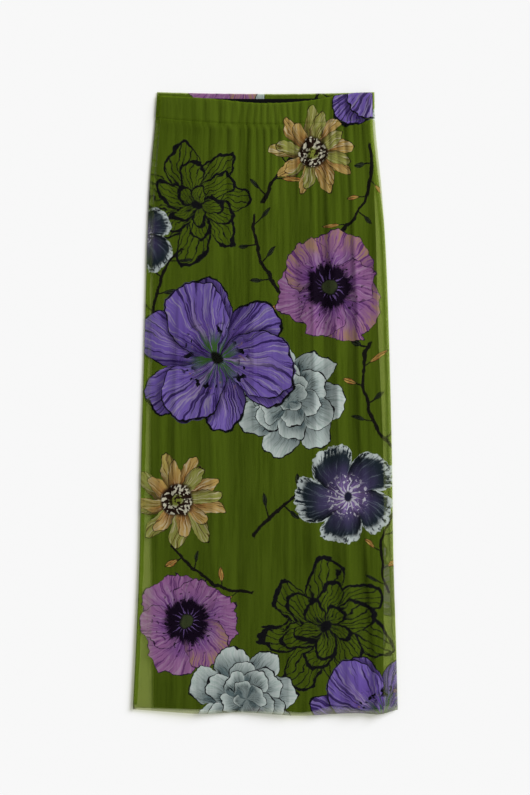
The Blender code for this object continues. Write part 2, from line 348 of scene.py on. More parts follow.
def crease_height(creases, across, depth):
    height = np.zeros_like(across)
    for crease in creases:
        run = np.clip((depth - crease.starts) / (crease.ends - crease.starts), 0.0, 1.0)
        middle = crease.at_top + (crease.at_end - crease.at_top) * run + 0.8 * np.sin(depth / 41.0)
        shown = smoothstep(0.0, 0.35, run)
        if crease.ends < LENGTH:
            shown = shown * (1.0 - smoothstep(0.6, 1.0, run))
        height += crease.height * shown * bell(across - middle, crease.half_width)
    return height


def side_lift(depth):
    """How far the side edges rise off the floor on the way to the hem."""
    return SIDE_LIFT * smoothstep(SIDE_LIFT_STARTS, LENGTH, depth)


def side_wrap(depth):
    return SIDE_WRAP * (1.0 - smoothstep(0.5 * SIDE_WRAP_END, SIDE_WRAP_END, depth))


def front_shares():
    """For each column of the front, its share across the lining and its share up from the side seam."""
    up = np.arange(EDGE_COLUMNS) / EDGE_COLUMNS
    inner = np.linspace(0.0, 1.0, INNER_COLUMNS + 1)
    share = np.concatenate((np.zeros(EDGE_COLUMNS), inner, np.ones(EDGE_COLUMNS)))
    edge = np.concatenate((up, np.ones(INNER_COLUMNS + 1), up[::-1]))
    return share, edge


def front_across(share, edge, depth):
    """Where the front's columns lie at a depth."""
    inner_left = -half_width("lining_left", depth) - LINING_CLEARANCE
    inner_right = half_width("lining_right", depth) + LINING_CLEARANCE
    outer_left = -half_width("left", depth)
    outer_right = half_width("right", depth) - side_wrap(depth)
    inner = inner_left + (inner_right - inner_left) * share
    outer = np.where(share < 0.5, outer_left, outer_right)
    return outer + (inner - outer) * edge


def arc_along(across, depth, height, axis):
    """Length along the cloth from the first row or column."""
    steps = np.sqrt(sum(np.diff(a, axis=axis) ** 2 for a in (across, depth, height)))
    length = np.cumsum(steps, axis=axis)
    pad = [(0, 0), (0, 0)]
    pad[axis] = (1, 0)
    return np.pad(length, pad)


# The print: garden flowers, drawn in the cloth's own flat coordinates

REPEAT_ACROSS = 470.0
REPEAT_DOWN = 985.0
BLOOM = "kind across depth radius turn"
SPRIGS = table(
    BLOOM,
    ("twig", 10, 152, 92, 62), ("twig", 6, 262, 88, 118), ("twig", -158, 304, 84, 75),
    ("twig", 158, 455, 88, 100), ("twig", 44, 612, 92, 28), ("twig", -90, 722, 78, 150),
    ("twig", 178, 676, 78, 82), ("twig", 150, 150, 80, 250),
)
# The later ones lie over the earlier
BLOOMS = table(
    BLOOM,
    ("ink_cosmos", -104, 168, 92, 20), ("coneflower", 74, 92, 70, 40),
    ("poppy", 98, 292, 88, 25), ("pink", -192, 214, 60, 50),
    ("camellia", 34, 462, 86, 10), ("clematis", -76, 398, 122, 12),
    ("coneflower", -134, 610, 76, 15), ("pink", 120, 604, 82, 62),
    ("ink_cosmos", 84, 800, 104, 0), ("poppy", -122, 790, 84, 200),
    ("clematis", 172, 934, 108, 35), ("camellia", -34, 906, 86, 70),
)
LAYERS = ("sprig", "lower_bloom", "upper_bloom")
FAR_AWAY = 9.0
NET_COVER = 0.38
CASING_COVER = 0.43


def corners_of(grid):
    """A grid's values at the four corners of its faces, one row for each face."""
    four = (grid[:-1, :-1], grid[1:, :-1], grid[1:, 1:], grid[:-1, 1:])
    return np.stack([corner.ravel() for corner in four], axis=1)


def print_cloth(piece, across, depth, cover):
    """Lays the print on a grid of cloth: flat coordinates on every corner, and for each face the
    flowers that touch it, each in coordinates that run from its heart to its petals' tips."""
    mesh = piece.data
    x, y = corners_of(across), corners_of(-depth)
    mesh.uv_layers.new(name="flat").data.foreach_set("uv", (np.stack((x, y), axis=2) * MM).ravel())
    middle_x, middle_y = x.mean(axis=1), y.mean(axis=1)
    reach = np.hypot(np.ptp(x, axis=1), np.ptp(y, axis=1))
    places = {layer: np.full((len(x), 4, 3), FAR_AWAY) for layer in LAYERS}
    owners = {layer: np.zeros(len(x), int) for layer in LAYERS}
    kinds = ["none", *sorted(FLOWERS)]
    for order, bloom in enumerate(SPRIGS + BLOOMS):
        turn = math.radians(bloom.turn)
        for shift_x, shift_y in product(range(-2, 3), repeat=2):
            centre_x = bloom.across + shift_x * REPEAT_ACROSS
            centre_y = shift_y * REPEAT_DOWN - bloom.depth
            away = np.hypot(middle_x - centre_x, middle_y - centre_y)
            touched = away < 1.04 * bloom.radius + reach
            if not touched.any():
                continue
            dx, dy = (x[touched] - centre_x) / bloom.radius, (y[touched] - centre_y) / bloom.radius
            local = (
                dx * math.cos(turn) + dy * math.sin(turn),
                dy * math.cos(turn) - dx * math.sin(turn),
                np.full_like(dx, order),
            )
            layer = "sprig"
            if bloom not in SPRIGS:
                layer = "upper_bloom"
                for kept in (places, owners):
                    kept["lower_bloom"][touched] = kept["upper_bloom"][touched]
            places[layer][touched] = np.stack(local, axis=2)
            owners[layer][touched] = kinds.index(bloom.kind)
    for layer, values in places.items():
        mesh.attributes.new(layer, "FLOAT_VECTOR", "CORNER").data.foreach_set("vector", values.ravel())
    sets, slot_of = np.unique(np.stack(list(owners.values()), axis=1), axis=0, return_inverse=True)
    for chosen in sets:
        drawn = tuple((layer, kinds[i]) for layer, i in zip(LAYERS, chosen) if i)
        mesh.materials.append(printed_mesh(drawn, cover))
    mesh.polygons.foreach_set("material_index", slot_of.ravel().astype(np.int32))


# Shader wiring

class Value:
    """One output in a material's nodes, which can be worked with as a number."""

    def __init__(self, socket):
        self.socket = socket
        self.tree = socket.id_data

    def math(self, operation, *others):
        return wired(self.tree, "Math", enumerate((self, *others)), operation=operation)

    def __rsub__(self, other):
        return (self * -1.0) + other

    __add__ = partialmethod(math, "ADD")
    __sub__ = partialmethod(math, "SUBTRACT")
    __mul__ = partialmethod(math, "MULTIPLY")
    __truediv__ = partialmethod(math, "DIVIDE")
    __abs__ = partialmethod(math, "ABSOLUTE")
    __pow__ = partialmethod(math, "POWER")

    def step(self, low, high):
        """0 at low, 1 at high and an even S between; high may be the smaller."""
        feeds = {
            "Value": self, "From Min": min(low, high), "From Max": max(low, high),
            "To Min": float(high < low), "To Max": float(low < high),
        }
        return wired(self.tree, "MapRange", feeds, "Result", interpolation_type="SMOOTHSTEP")


def feed(port, value):
    """Feeds an input from a value, a number or a colour."""
    if isinstance(value, Value):
        port.id_data.links.new(value.socket, port)
    else:
        port.default_value = (*value, 1.0) if isinstance(value, tuple) else value


def wired(tree, kind, feeds=(), output=0, **settings):
    """One output of a new node, whose inputs are fed by name or number."""
    node = tree.nodes.new(f"ShaderNode{kind}")
    for name, value in settings.items():
        setattr(node, name, value)
    for key, value in dict(feeds).items():
        feed(node.inputs[key], value)
    return Value(node.outputs[output])


def all_outputs(value):
    """Every output of the node that a value comes from."""
    return [Value(port) for port in value.socket.node.outputs]


def mix(amount, below, above):
    """One colour over another by an amount."""
    return wired(amount.tree, "Mix", {0: amount, 6: below, 7: above}, 2, data_type="RGBA")


def painted(colour, *coats):
    """A colour under its coats, each an amount and a colour."""
    for amount, coat in coats:
        colour = mix(amount, colour, coat)
    return colour


def thinned(colour, depth):
    return wired(colour.tree, "VectorMath", {0: colour, "Scale": depth}, operation="SCALE")


def vector(x, y, z=0.0):
    return wired(x.tree, "CombineXYZ", enumerate((x, y, z)))


def split(value):
    return all_outputs(wired(value.tree, "SeparateXYZ", {0: value}))


def noise(place, scale, detail=2.0, roughness=0.5):
    """Soft random blotches from about 0 to 1."""
    feeds = {"Vector": place, "Scale": scale, "Detail": detail, "Roughness": roughness}
    return wired(place.tree, "TexNoise", feeds, "Fac")


def object_place(tree):
    return wired(tree, "TexCoord", output="Object")


def through_group(name, draw, place):
    """The colour and amount that a drawing gives at a place, through a group that is made once."""
    group = bpy.data.node_groups.get(name)
    if group is None:
        group = bpy.data.node_groups.new(name, "ShaderNodeTree")
        for label, way, kind in (
            ("Place", "INPUT", "Vector"), ("Colour", "OUTPUT", "Color"), ("Amount", "OUTPUT", "Float"),
        ):
            group.interface.new_socket(label, in_out=way, socket_type=f"NodeSocket{kind}")
        drawing = draw(Value(group.nodes.new("NodeGroupInput").outputs[0]))
        for port, value in zip(group.nodes.new("NodeGroupOutput").inputs, drawing):
            feed(port, value)
    return all_outputs(wired(place.tree, "Group", {0: place}, node_tree=group))


# Flowers: each is drawn from a place in the flower, as a colour and how much it covers

Petal = namedtuple("Petal", "inside along across number")
INK = (0.01, 0.01, 0.013)
INK_IN_HOLES = 0.28
# The ground's colour half way down, and how much it brightens a metre towards the waist: darker towards the
# hem, lighter towards the waist
GROUND_TONE_HALF_WAY = 0.99
GROUND_TONE_RISE_TO_WAIST = 0.27
# A twig's side shoots: how many in its radius, how far each is set back, and how far out they go
SHOOTS = 3.2
SHOOT_SETBACK = 0.07
SHOOTS_END = 0.84


def distance(x, y):
    return (x * x + y * y).math("SQRT")


def petals(x, y, seed, count, reach, notch, roundness, phase=0.0, curl=0.0, wave=0.05):
    """A ring of petals: how far inside its outline a point is, its share of the way out along its
    petal, its place across the petal from -1 to 1, and a random number for the petal."""
    radius = distance(x, y)
    turn = y.math("ARCTAN2", x) * (count / (2.0 * math.pi)) + (radius * curl + phase)
    nearest = turn.math("ROUND")
    across = (turn - nearest) * 2.0
    number = ((nearest * 12.99 + seed * 4.1).math("SINE") * 43.7).math("FRACT")
    frill = noise(vector(x * 4.5, y * 4.5, seed + reach * 7.0), 1.0) - 0.5
    edge = (abs(across) ** roundness * -notch + 1.0) * (number * 0.16 + (reach - 0.08) + frill * wave * 4.0)
    return Petal(edge - radius, radius / edge, across, number)


def streaks(petal, seed, fineness, length):
    """Fine lines that run out along a petal."""
    place = vector(petal.across * fineness, petal.along * length, petal.number * 9.0 + seed)
    return noise(place, 1.0, 3.0, 0.6)


def outline(petal, width):
    """A pen line along a petal's edge, heavier in places."""
    heavy = petal.across.step(-0.6, 0.9) * width * 0.7 + width * 0.65
    return (abs(petal.inside) / heavy).step(1.15, 0.75)


def covered(petal):
    return petal.inside.step(-0.006, 0.004)


def stacked(rings):
    """Rings of petals, each a colour and what it covers, with the last on top."""
    colour, cover = rings[0]
    for body, inside in rings[1:]:
        colour = mix(inside, colour, body)
        cover = cover.math("MAXIMUM", inside)
    return colour, cover


def draw_clematis(x, y, seed, sway_x, sway_y):
    """Broad violet petals, finely streaked, with a paler bar, and a green heart of dark stamens."""
    x, y = x + sway_x * 0.2, y + sway_y * 0.2
    radius = distance(x, y)
    back = petals(x, y, seed, 6, 0.97, 0.42, 2.2, 0.5, 0.1)
    front = petals(x, y, seed + 3.0, 3, 0.94, 0.86, 1.9, 0.1, 0.08)
    shadow = (front.inside.step(-0.16, 0.0) * 0.7, (0.03, 0.012, 0.1))
    bodies = []
    for petal, shadows in ((back, [shadow]), (front, [])):
        fine = streaks(petal, seed, 30.0, 2.2)
        veins = streaks(petal, seed + 5.0, 16.0, 0.9)
        bar = abs(petal.across).step(0.18, 0.03) * petal.along.step(0.95, 0.35)
        bodies.append(painted(
            (0.22, 0.1, 0.6),
            (petal.along.step(0.15, 0.95), (0.38, 0.24, 0.92)),
            (fine.step(0.5, 0.66) * 0.8, (0.78, 0.66, 1.0)),
            (veins.step(0.48, 0.4) * 0.9, (0.05, 0.02, 0.18)),
            (bar * fine.step(0.36, 0.56) * 0.55, (0.8, 0.62, 1.0)),
            (petal.across.step(0.3, 1.0) * 0.75, (0.045, 0.02, 0.15)),
            *shadows,
            (outline(petal, 0.022), INK),
        ))
    rays = noise(vector(y.math("ARCTAN2", x) * 3.5, radius * 1.5, seed), 1.6, 3.0)
    specks = noise(vector(x, y, seed + 4.0), 13.0, 1.0)
    ring = abs(radius - 0.36).step(0.12, 0.02)
    colour = painted(
        mix(covered(front), *bodies),
        (radius.step(0.44, 0.12) * rays.step(0.42, 0.56), (0.09, 0.24, 0.045)),
        (radius.step(0.46, 0.1) * rays.step(0.42, 0.32), (0.012, 0.01, 0.02)),
        (specks.step(0.56, 0.61) * ring, (0.008, 0.008, 0.014)),
        (specks.step(0.36, 0.31) * ring * 0.8, (0.42, 0.24, 0.3)),
        (radius.step(0.1, 0.06), (0.01, 0.012, 0.008)),
    )
    return colour, back.inside.math("MAXIMUM", front.inside).step(-0.016, -0.004)


def draw_camellia(x, y, seed, sway_x, sway_y):
    """Whorls of pale mint petals, hatched and outlined in ink."""
    x, y = x + sway_x * 0.26, y + sway_y * 0.26
    rings = []
    for count, reach, phase, pen in (
        (7, 0.97, 0.0, 0.026), (6, 0.74, 0.4, 0.022), (5, 0.51, 0.1, 0.018), (4, 0.28, 0.5, 0.014),
    ):
        petal = petals(x, y, seed + phase * 10.0, count, reach, 0.26, 2.6, phase, 0.25)
        hatch = streaks(petal, seed + reach, 15.0, 2.4)
        deep = petal.along.step(1.0, 0.62) * 0.75 + petal.across.step(0.1, 1.0) * 0.6
        body = painted(
            (0.68, 0.84, 0.78),
            (hatch.step(0.3, 0.7), (0.93, 1.0, 0.97)),
            (deep * hatch.step(0.36, 0.54), (0.16, 0.23, 0.24)),
            (deep * hatch.step(0.5, 0.42), (0.02, 0.03, 0.035)),
            (outline(petal, pen), INK),
        )
        rings.append((body, covered(petal)))
    return stacked(rings)


def draw_pink(x, y, seed, sway_x, sway_y):
    """A garden pink: slate petals with ragged white rims and a mauve heart."""
    ragged = noise(vector(x, y, seed), 9.0, 4.0, 0.65) - 0.5
    x, y = x + sway_x * 0.14, y + sway_y * 0.14
    radius = distance(x, y)
    petal = petals(x, y, seed, 5, 0.94, 0.36, 5.0, 0.0, 0.35)
    inside = petal.inside + ragged * 0.16
    fine = streaks(petal, seed, 13.0, 1.8)
    lace = (ragged + fine).step(0.4, 0.54)
    stamens = petals(x, y, seed + 1.0, 13, 0.34, 0.9, 0.5, 0.0, 2.2)
    specks = noise(vector(x, y, seed + 4.0), 16.0, 1.0)
    colour = painted(
        (0.1, 0.08, 0.2),
        (petal.along.step(0.35, 0.85), (0.022, 0.036, 0.048)),
        (fine.step(0.54, 0.68) * 0.55, (0.26, 0.32, 0.38)),
        (petal.across.step(0.2, 1.0) * 0.8, (0.006, 0.008, 0.012)),
        (radius.step(0.46, 0.14) * fine.step(0.38, 0.58), (0.46, 0.3, 0.72)),
        (inside.step(0.16, 0.07) * lace, (0.86, 0.96, 0.94)),
        (inside.step(0.02, 0.004), (0.75, 0.84, 0.82)),
        (stamens.inside.step(0.0, 0.012), (0.85, 0.8, 0.95)),
        (specks.step(0.58, 0.62) * radius.step(0.46, 0.3), (0.9, 0.88, 0.98)),
        (radius.step(0.1, 0.06), (0.02, 0.02, 0.05)),
    )
    return colour, inside.step(-0.004, 0.004)


def draw_coneflower(x, y, seed, sway_x, sway_y):
    """Long ochre petals round a brown cone with cream tips."""
    x, y = x + sway_x * 0.22, y + sway_y * 0.22
    radius = distance(x, y)
    rings = []
    for count, reach, notch, phase in ((9, 0.97, 0.58, 0.5), (8, 0.8, 0.66, 0.0)):
        petal = petals(x, y, seed + phase, count, reach, notch, 1.7, phase, 0.2)
        fine = streaks(petal, seed + phase, 9.0, 1.5)
        body = painted(
            (0.38, 0.12, 0.02),
            (petal.along.step(0.2, 0.95), (0.78, 0.52, 0.15)),
            (petal.number.step(0.45, 0.6) * 0.8, (0.4, 0.48, 0.1)),
            (fine.step(0.52, 0.68) * 0.8, (1.0, 0.86, 0.58)),
            (fine.step(0.45, 0.36) * 0.8, (0.13, 0.045, 0.012)),
            (petal.across.step(0.15, 0.9) * 0.85, (0.1, 0.035, 0.008)),
            (outline(petal, 0.02), (0.02, 0.012, 0.008)),
        )
        rings.append((body, covered(petal)))
    colour, cover = stacked(rings)
    seeds = noise(vector(x, y, seed), 14.0, 1.0)
    colour = painted(
        colour,
        (radius.step(0.37, 0.29), (0.03, 0.014, 0.008)),
        (radius.step(0.33, 0.29) * seeds.step(0.52, 0.58), (0.95, 0.9, 0.68)),
        (radius.step(0.16, 0.08) * seeds.step(0.44, 0.52), (0.3, 0.34, 0.05)),
    )
    return colour, cover.math("MAXIMUM", radius.step(0.33, 0.31))


def draw_poppy(x, y, seed, sway_x, sway_y):
    """Wide magenta petals, one of them ochre at its edge, with a dark blotched heart and speckles."""
    x, y = x + sway_x * 0.24, y + sway_y * 0.24
    radius = distance(x, y)
    rings = []
    for reach, notch, phase in ((0.95, 0.34, 0.5), (0.86, 0.72, 0.0)):
        petal = petals(x, y, seed + phase, 3, reach, notch, 2.4, phase, 0.12, 0.07)
        fine = streaks(petal, seed + phase, 20.0, 1.4)
        aged = petal.number.step(0.62, 0.66) * petal.along.step(0.6, 0.92)
        body = painted(
            (0.3, 0.1, 0.52),
            (petal.along.step(0.25, 0.9), (0.72, 0.3, 0.7)),
            (fine.step(0.5, 0.66) * 0.7, (0.96, 0.62, 0.94)),
            (fine.step(0.46, 0.36) * 0.75, (0.2, 0.04, 0.28)),
            (aged * fine.step(0.4, 0.6), (0.85, 0.5, 0.34)),
            (abs(petal.across).step(0.45, 1.0) * 0.7, (0.12, 0.03, 0.28)),
            (outline(petal, 0.015), (0.05, 0.015, 0.07)),
        )
        rings.append((body, covered(petal)))
    colour, cover = stacked(rings)
    blot = noise(vector(y.math("ARCTAN2", x) * 1.6, radius, seed), 3.2, 4.0, 0.7)
    speckles = noise(vector(x, y, seed + 2.0), 15.0, 0.0)
    stamens = petals(x, y, seed, 17, 0.27, 0.85, 0.6, 0.0, 1.0)
    ring = stamens.inside.step(0.0, 0.01) * radius.step(0.12, 0.14)
    colour = painted(
        colour,
        ((radius + (blot - 0.5) * 0.44).step(0.46, 0.33), (0.016, 0.006, 0.024)),
        (speckles.step(0.68, 0.72) * radius.step(0.86, 0.34), (0.016, 0.008, 0.024)),
        (radius.step(0.13, 0.09), (0.1, 0.13, 0.05)),
        (ring * 0.8, (0.34, 0.2, 0.6)),
    )
    return colour, cover


def draw_ink_cosmos(x, y, seed, sway_x, sway_y):
    """A many-petalled flower in pen and brush alone, with the cloth's green showing through."""
    x, y = x + sway_x * 0.34, y + sway_y * 0.34
    line = None
    for count, reach, notch, phase in ((7, 0.96, 0.46, 0.0), (6, 0.68, 0.5, 0.5), (5, 0.38, 0.55, 0.2)):
        petal = petals(x, y, seed + reach, count, reach, notch, 1.9, phase, 0.35)
        inside = covered(petal)
        vein = petal.across * 3.6 + noise(vector(x, y, seed), 5.0) * 0.9
        vein = (abs(vein - vein.math("ROUND")) + petal.along * 0.12).step(0.25, 0.14)
        brush = streaks(petal, seed + reach, 5.0, 1.2).step(0.46, 0.42) * petal.along.step(0.62, 0.4)
        shade = petal.across.step(0.55, 0.75) * petal.along.step(0.9, 0.7)
        ink = outline(petal, 0.04)
        for stroke in (vein, brush, shade):
            ink = ink.math("MAXIMUM", stroke * inside)
        line = ink if line is None else (line * (1.0 - inside)).math("MAXIMUM", ink)
    line = line.math("MAXIMUM", distance(x, y).step(0.1, 0.07))
    return mix(line, (0.1, 0.15, 0.03), INK), line


def draw_twig(x, y, seed, _, sway_y):
    """A bent dark twig with side shoots, small leaves and ochre buds."""
    y = y + x * x * 0.3 + sway_y * 0.22 - 0.08
    knobs = noise(vector(x, y * 0.2, seed), 12.0)
    stem = (abs(y) - knobs * 0.035).step(0.016, 0.008) * abs(x).step(0.93, 0.9)
    first = seed * 0.37
    along = x * SHOOTS + first
    shoot = along.math("ROUND")
    number = ((shoot * 5.3 + seed).math("SINE") * 17.0).math("FRACT")
    side = (shoot * math.pi + 0.4).math("COSINE").math("SIGN")
    up = y * side
    lean = (along - shoot) / SHOOTS + SHOOT_SETBACK - up * (number * 0.25 + 0.32)
    foot = (shoot - first) / SHOOTS - SHOOT_SETBACK
    ends = abs(foot).step(SHOOTS_END + 0.001, SHOOTS_END)
    branch = abs(lean + (up * 16.0).math("SINE") * 0.008).step(0.016, 0.01)
    branch = branch * up.step(0.0, 0.01) * up.step(0.16, 0.14) * ends
    tip = (up - 0.235) / (number * 0.05 + 0.1)
    within = (1.0 - tip * tip) * (number * 0.02 + 0.038) - abs(lean)
    leaf = within.step(-0.004, 0.004) * ends * up.step(0.05, 0.06)
    vein = noise(vector(lean * 60.0, up * 9.0, number), 1.0)
    pen = within.step(0.014, 0.006).math("MAXIMUM", abs(lean).step(0.007, 0.003))
    ink_leaf = mix(vein.step(0.42, 0.58), (0.016, 0.022, 0.012), (0.055, 0.075, 0.035))
    bud = mix(vein.step(0.4, 0.6), (0.4, 0.14, 0.03), (0.88, 0.54, 0.14))
    blade = painted(ink_leaf, (number.step(0.55, 0.57), bud), (pen, INK))
    return mix(leaf, (0.014, 0.013, 0.01), blade), stem.math("MAXIMUM", branch).math("MAXIMUM", leaf)


# How each kind of flower is drawn, and how strongly it is dyed
FLOWERS = {
    "clematis": (draw_clematis, 0.46),
    "camellia": (draw_camellia, 0.68),
    "pink": (draw_pink, 0.6),
    "coneflower": (draw_coneflower, 0.6),
    "poppy": (draw_poppy, 0.42),
    "ink_cosmos": (draw_ink_cosmos, 0.6),
    "twig": (draw_twig, 0.6),
}


def draw_flower(kind, place):
    draw, dye = FLOWERS[kind]
    x, y, seed = split(place)
    sway_x, sway_y, _ = split(all_outputs(noise(place, 2.6, 3.0))[1])
    colour, cover = draw(x, y, seed, sway_x - 0.5, sway_y - 0.5)
    return thinned(colour, dye), cover


def draw_ground(flat):
    """The olive ground of the print, in slightly uneven dye, and its streaks: partly yarns pulled closer,
    partly painted light and shade of fine wrinkles and soft folds.
    """
    x, y, _ = split(flat)
    fine = noise(vector(x, y * 0.05), 230.0, 3.0, 0.65)
    bands = noise(vector(x, y * 0.1), 46.0)
    # Streaks down the net: partly yarns pulled closer, partly painted light and shade of fine wrinkles and
    # soft folds
    pulled_and_shaded = fine * 0.62 + bands * 0.38
    colour = painted(
        (0.098, 0.158, 0.006),
        (noise(flat, 7.0).step(0.3, 0.7), (0.112, 0.174, 0.008)),
        # Lighter along the streaks: partly denser yarns, partly a painted highlight on the wrinkles
        (pulled_and_shaded.step(0.36, 0.64) * 0.5, (0.15, 0.225, 0.016)),
    )
    return colour, pulled_and_shaded


# Materials

def new_material(name, roughness, specular=0.03):
    material = bpy.data.materials.new(name)
    material.use_nodes = True
    shader = material.node_tree.nodes["Principled BSDF"]
    feed(shader.inputs["Roughness"], roughness)
    feed(shader.inputs["Specular IOR Level"], specular)
    return material, material.node_tree, shader


def give_bump(shader, height, strength, rise):
    feeds = {"Strength": strength, "Distance": rise, "Height": height}
    feed(shader.inputs["Normal"], wired(height.tree, "Bump", feeds))


def open_net(tree, cover):
    """Lets light through between the yarns, once for each sheet: on the way in and not on the way out."""
    leaving = wired(tree, "NewGeometry", output="Backfacing")
    tint = mix(leaving, (0.912, 0.93, 0.7), (1.0, 1.0, 1.0))
    holes = wired(tree, "BsdfTransparent", {"Color": tint})
    yarns = Value(tree.nodes["Principled BSDF"].outputs[0])
    both = wired(tree, "MixShader", {0: (1.0 - leaving) * cover, 1: holes, 2: yarns})
    feed(tree.nodes["Material Output"].inputs["Surface"], both)


@cache
def printed_mesh(drawn, cover):
    """Sheer printed mesh: the ground, the flowers that touch this stretch, and the open net."""
    names = " over ".join(kind.replace("_", " ") for _, kind in reversed(drawn))
    material, tree, shader = new_material(f"printed mesh {names}".strip(), 0.8)
    flat = wired(tree, "UVMap", output="UV", uv_map="flat")
    colour, pulled_and_shaded = through_group("print ground", draw_ground, flat)
    # The ground is made darker towards the hem and lighter towards the waist
    colour = thinned(colour, split(object_place(tree))[1] * GROUND_TONE_RISE_TO_WAIST + GROUND_TONE_HALF_WAY)
    filled = pulled_and_shaded * 0.1 + (cover - 0.05)
    for layer, kind in drawn:
        place = wired(tree, "Attribute", output="Vector", attribute_name=layer)
        over, shown = through_group(kind, partial(draw_flower, kind), place)
        colour = mix(shown, colour, over)
        filled = filled.math("MAXIMUM", shown * INK_IN_HOLES + (cover - 0.02))
    # Painted shade: up to 12% darker where the streaks are low, as in the troughs of fine wrinkles
    shade = pulled_and_shaded.step(0.34, 0.66) * 0.24 + 0.88
    feed(shader.inputs["Base Color"], mix(1.0 - shade, colour, (0.0, 0.0, 0.0)))
    give_bump(shader, pulled_and_shaded, 0.5, 0.0012)
    open_net(tree, filled)
    return material


def jersey(name, dark, light, rise):
    """Opaque knitted jersey with fine ribs."""
    material, tree, shader = new_material(name, 0.9)
    place = object_place(tree)
    x, y, z = split(place)
    rib = noise(vector(x, y * 0.08, z), 900.0)
    feed(shader.inputs["Base Color"], mix(rib * 0.6 + noise(place, 14.0) * 0.4, dark, light))
    give_bump(shader, rib, 0.4, rise)
    return material


def allowance_mesh():
    """Plain overlocked mesh, two layers thick."""
    material, tree, shader = new_material("overlocked mesh", 0.85)
    loops = noise(object_place(tree), 900.0, 1.0)
    feed(shader.inputs["Base Color"], mix(loops, (0.13, 0.2, 0.016), (0.22, 0.33, 0.035)))
    open_net(tree, loops * 0.15 + 0.4)
    return material


# Pieces

def put_in_scene(name, data):
    thing = bpy.data.objects.new(name, data)
    bpy.context.scene.collection.objects.link(thing)
    return thing


def new_piece(name, across, depth, height, faces):
    """A named smooth mesh from its points and faces."""
    points = np.stack((across, LENGTH / 2.0 - depth, height), axis=-1).reshape(-1, 3) * MM
    mesh = bpy.data.meshes.new(name)
    mesh.from_pydata(points.tolist(), [], faces)
    mesh.shade_smooth()
    return put_in_scene(name, mesh)


def sheet_of(name, grid):
    """A named sheet of cloth from its rows and columns of points, faces upwards."""
    rows, columns = grid[0].shape
    return new_piece(name, *grid, corners_of(np.arange(rows * columns).reshape(rows, columns)).tolist())


def give_wall(piece, thickness, offset=1.0):
    """The sheet's thickness, applied."""
    wall = piece.modifiers.new("wall", "SOLIDIFY")
    wall.thickness = thickness * MM
    wall.offset = offset
    wall.use_even_offset = False
    with bpy.context.temp_override(object=piece, active_object=piece, selected_objects=[piece]):
        bpy.ops.object.modifier_apply(modifier=wall.name)


def dress(piece, slot, *nodes):
    """Puts a finished piece on the skirt."""
    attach(piece, "root")
    if nodes:
        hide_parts(*nodes)
    return piece


def sew(name, grid, material, wall, slot, *nodes):
    """A sheet of plain cloth on the skirt."""
    sheet = sheet_of(name, grid)
    sheet.data.materials.append(material)
    give_wall(sheet, wall)
    return dress(sheet, slot, *nodes)


def sew_printed(name, node, grid, flat, cover, offset):
    """A sheet of printed mesh on the skirt, which stands for a node."""
    sheet = sheet_of(name, grid)
    print_cloth(sheet, *flat, cover)
    give_wall(sheet, MESH_WALL, offset)
    return dress(sheet, "printed_mesh", node)


def rows_between(top, bottom, rows, crowding=1.0):
    """Depths of each row between two edges, closer together at the top."""
    share = (np.arange(rows + 1) / rows) ** crowding
    return top + (bottom - top) * share[:, None]


def flat_across(across, depth, height):
    """Lengths along each row of cloth, counted from the skirt's middle."""
    lengths = arc_along(across, depth * 0.0, height, 1)
    middle = np.argmin(np.abs(across[0]))
    return lengths - lengths[:, middle:middle + 1]


def point_on(line, run, place):
    return np.array([np.interp(place, run, line[:, k]) for k in range(3)])


def make_stitches(name, lines, length, thickness, material):
    """Rows of separate stitches along lines of points, each a short thread whose ends dip into the cloth."""
    points, faces = [], []
    for line in lines:
        run = np.concatenate(([0.0], np.cumsum(np.linalg.norm(np.diff(line, axis=0), axis=1))))
        for middle in np.arange(STITCH_SPACING, run[-1] - STITCH_SPACING, STITCH_SPACING):
            first = len(points)
            for place, size, sink in STITCH_RINGS:
                at = point_on(line, run, middle + place * length)
                along = point_on(line, run, middle + place * length + 0.2) - at
                side = np.array([along[1], -along[0]]) / max(1e-6, np.hypot(along[0], along[1]))
                for k in range(6):
                    turn = math.pi * k / 3.0
                    out = side * thickness / 2.0 * size * math.cos(turn)
                    up = thickness / 2.0 * size * math.sin(turn)
                    points.append((*(at[:2] + out), at[2] + up - sink))
            for a in range(first, first + 18):
                b = a - 5 if (a - first) % 6 == 5 else a + 1
                faces.append((a, a + 6, b + 6, b))
            faces.append(tuple(range(first, first + 6)))
            faces.append(tuple(range(first + 23, first + 17, -1)))
    stitches = new_piece(name, *np.array(points).T, faces)
    stitches.data.materials.append(material)
    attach(stitches, "root")
    return stitches


def stitch_casing(name, grid, lift, thickness):
    """The casing's seam, stitched along the top row of a panel."""
    across, depth, height = (rows[0] for rows in grid)
    seam = np.stack((across, depth - 0.3, height + lift), axis=1)
    return make_stitches(name, [seam], STITCH_LENGTH, thickness, THREAD)


def make_elastic(name, grid):
    """A stretch of the elastic inside its casing."""
    elastic = sew(name, grid, ELASTIC, ELASTIC_WALL, "lining_jersey")


